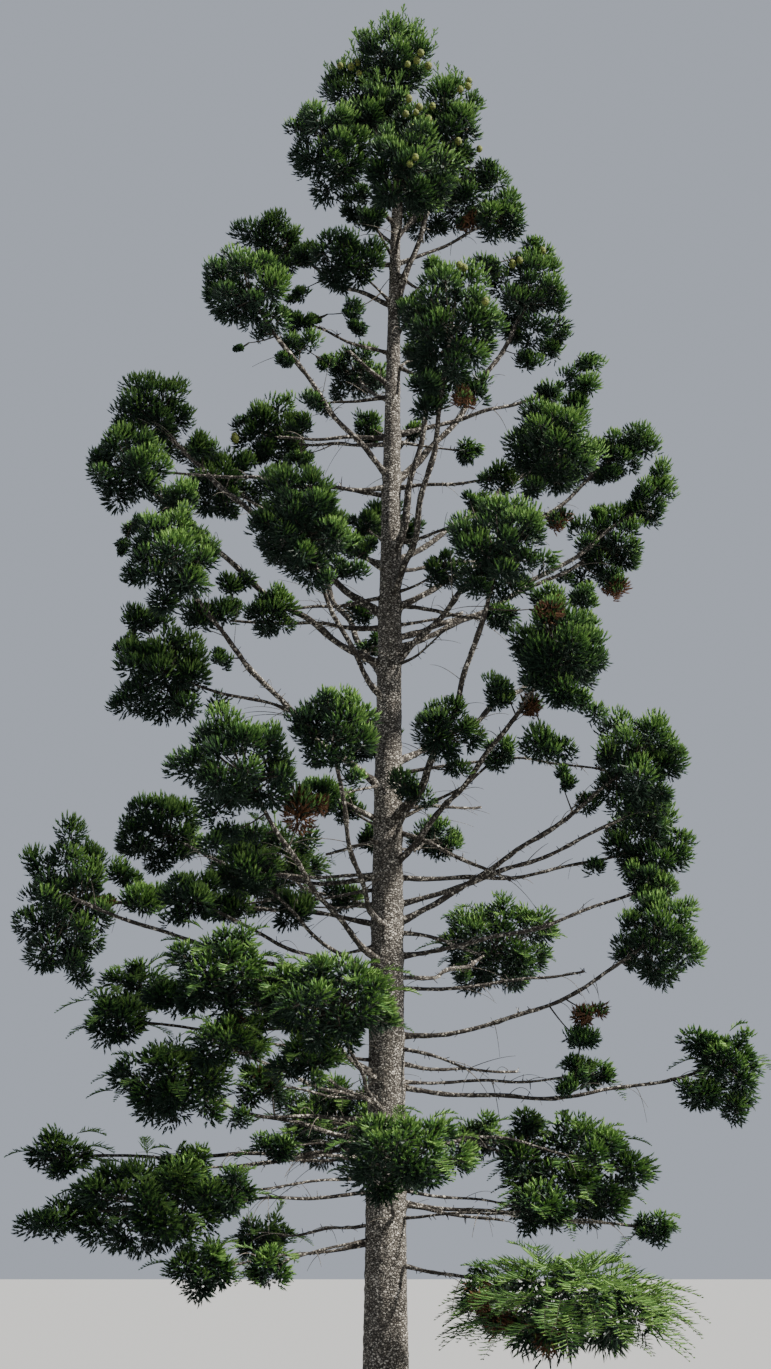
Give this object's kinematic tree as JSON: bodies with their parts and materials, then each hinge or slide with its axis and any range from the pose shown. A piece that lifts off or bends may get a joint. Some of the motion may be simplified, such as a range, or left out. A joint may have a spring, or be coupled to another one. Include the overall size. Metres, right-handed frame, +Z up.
{
  "type": "hoop pine tree",
  "caption": "Tall open-grown conifer with a straight tapering trunk, upswept boughs and rounded dark green tufts of needles, flat cut at the ground.",
  "frame": {"origin": "middle of the flat cut under the trunk, at ground level", "axes": "+Z up the trunk, -Y towards the side seen in the picture, +X to the right of that view"},
  "size_m": [11.732, 9.7278, 23.8896],
  "materials": {
    "bark": "rough grey-brown bark, cracked in rings round the trunk",
    "bough": "rough light brown bark with short stubs",
    "foliage": "dense short needles, dark green with yellow-green tips"
  },
  "bodies": {
    "root": {"bough_left_11": "bough", "bough_left_2": "bough", "bough_left_4": "bough", "bough_left_6": "bough", "bough_left_7": "bough", "bough_left_8": "bough", "bough_lower_4": "bough", "bough_right_10": "bough", "bough_right_2": "bough", "bough_right_3": "bough", "bough_right_5": "bough", "bough_right_6": "bough", "bough_right_8": "bough", "foliage_back_1": "foliage", "foliage_back_2": "foliage", "foliage_back_3": "foliage", "foliage_back_4": "foliage", "foliage_back_5": "foliage", "foliage_back_6": "foliage", "foliage_back_7": "foliage", "foliage_left_1": "foliage", "foliage_left_10": "foliage", "foliage_left_11": "foliage", "foliage_left_12": "foliage", "foliage_left_13": "foliage", "foliage_left_2": "foliage", "foliage_left_3": "foliage", "foliage_left_4": "foliage", "foliage_left_5": "foliage", "foliage_left_6": "foliage", "foliage_left_7": "foliage", "foliage_left_8": "foliage", "foliage_left_9": "foliage", "foliage_lower_1": "foliage", "foliage_lower_2": "foliage", "foliage_lower_3": "foliage", "foliage_lower_4": "foliage", "foliage_lower_5": "foliage", "foliage_lower_6": "foliage", "foliage_lower_7": "foliage", "foliage_lower_8": "foliage", "foliage_right_1": "foliage", "foliage_right_10": "foliage", "foliage_right_2": "foliage", "foliage_right_3": "foliage", "foliage_right_4": "foliage", "foliage_right_5": "foliage", "foliage_right_6": "foliage", "foliage_right_7": "foliage", "foliage_right_8": "foliage", "foliage_right_9": "foliage", "foliage_top_1": "foliage", "foliage_top_2": "foliage", "foliage_top_3": "foliage", "foliage_top_4": "foliage", "foliage_top_5": "foliage", "foliage_top_6": "foliage", "foliage_top_7": "foliage", "foliage_top_8": "foliage", "trunk": "bark"}
  },
  "joints": []
}
